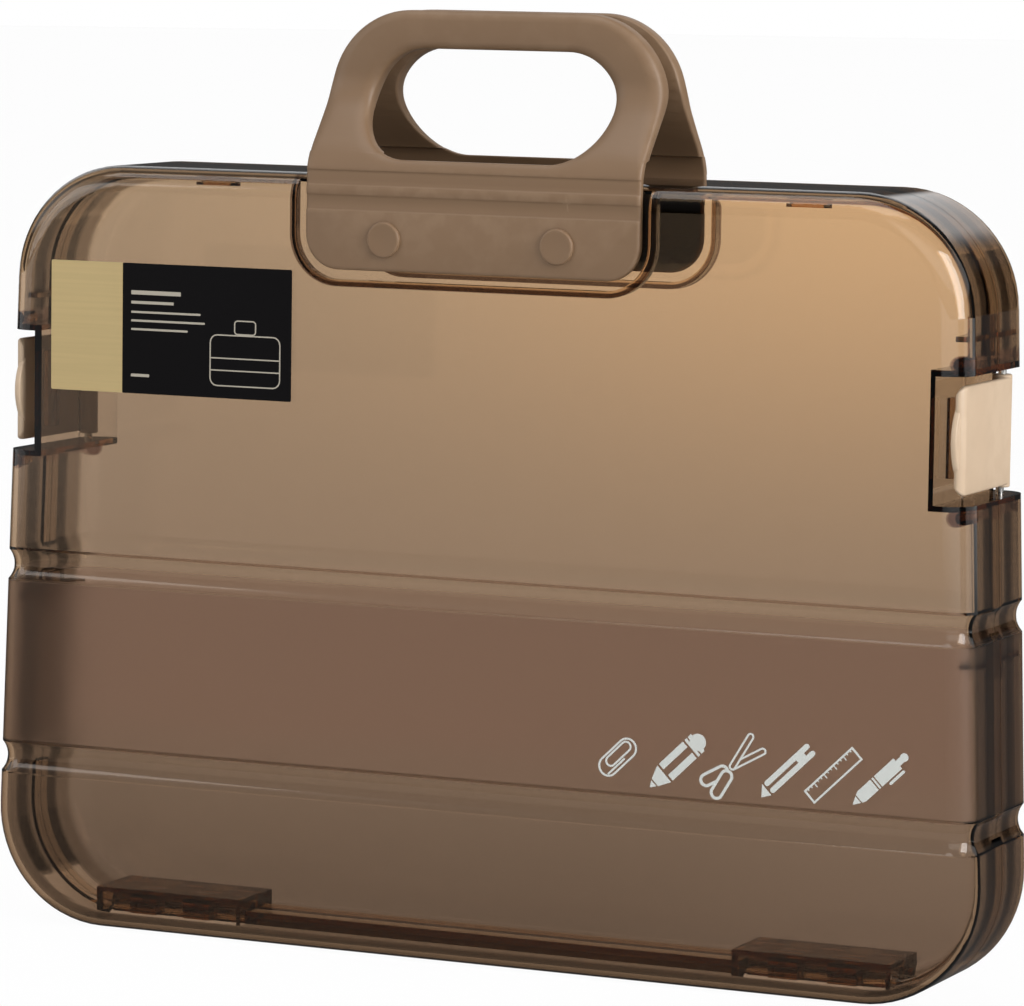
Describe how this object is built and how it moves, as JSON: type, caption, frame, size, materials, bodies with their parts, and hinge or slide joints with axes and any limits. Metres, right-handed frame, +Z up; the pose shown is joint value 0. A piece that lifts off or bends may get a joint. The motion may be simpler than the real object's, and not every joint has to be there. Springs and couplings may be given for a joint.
{
  "type": "document case",
  "caption": "Hinged clear-plastic case for papers, with a pair of folding handles and a latch at each side.",
  "frame": {"origin": "bottom centre of the whole closed case, on the surface it stands on", "axes": "+X along the width, the labelled front faces -Y, +Z up through the handles"},
  "size_m": [0.3324, 0.0574, 0.2934],
  "materials": {
    "shell": "clear tea-brown moulding, polished, with a satin band",
    "handle": "fine matte moulding",
    "rivet": "fine matte moulding",
    "latch": "satin moulding",
    "pin": "drawn wire",
    "label": "printed film, part metallic, part black",
    "print": "pale screen print"
  },
  "bodies": {
    "rear_case": {"rear_shell": "shell", "rear_handle_plate": "handle", "rear_handle_rivets": "rivet", "rear_rivet_caps": "rivet", "left_hinge_pin": "pin", "right_hinge_pin": "pin", "left_latch_pin": "pin", "right_latch_pin": "pin"},
    "front_case": {"front_shell": "shell", "front_handle_plate": "handle", "front_handle_rivets": "rivet", "front_rivet_caps": "rivet", "label": "label", "printed_pictograms": "print"},
    "front_grip": {"front_handle_grip": "handle"},
    "rear_grip": {"rear_handle_grip": "handle"},
    "left_latch": {"left_latch": "latch"},
    "right_latch": {"right_latch": "latch"}
  },
  "joints": [
    {"name": "case_open", "type": "hinge", "parent": "rear_case", "child": "front_case", "pos_m": [0, 0.00075, 0.0045], "axis": [1, 0, 0], "range_deg": [0, 110]},
    {"name": "front_grip_fold", "type": "hinge", "parent": "front_case", "child": "front_grip", "pos_m": [0, -0.0246, 0.2445], "axis": [1, 0, 0], "range_deg": [-4, 90]},
    {"name": "rear_grip_fold", "type": "hinge", "parent": "rear_case", "child": "rear_grip", "pos_m": [0, 0.0261, 0.2445], "axis": [-1, 0, 0], "range_deg": [-4, 90]},
    {"name": "left_latch_open", "type": "hinge", "parent": "rear_case", "child": "left_latch", "pos_m": [-0.15652, 0.01775, 0.1711], "axis": [0, 0, -1], "range_deg": [0, 100]},
    {"name": "right_latch_open", "type": "hinge", "parent": "rear_case", "child": "right_latch", "pos_m": [0.15652, 0.01775, 0.1711], "axis": [0, 0, 1], "range_deg": [0, 100]}
  ]
}
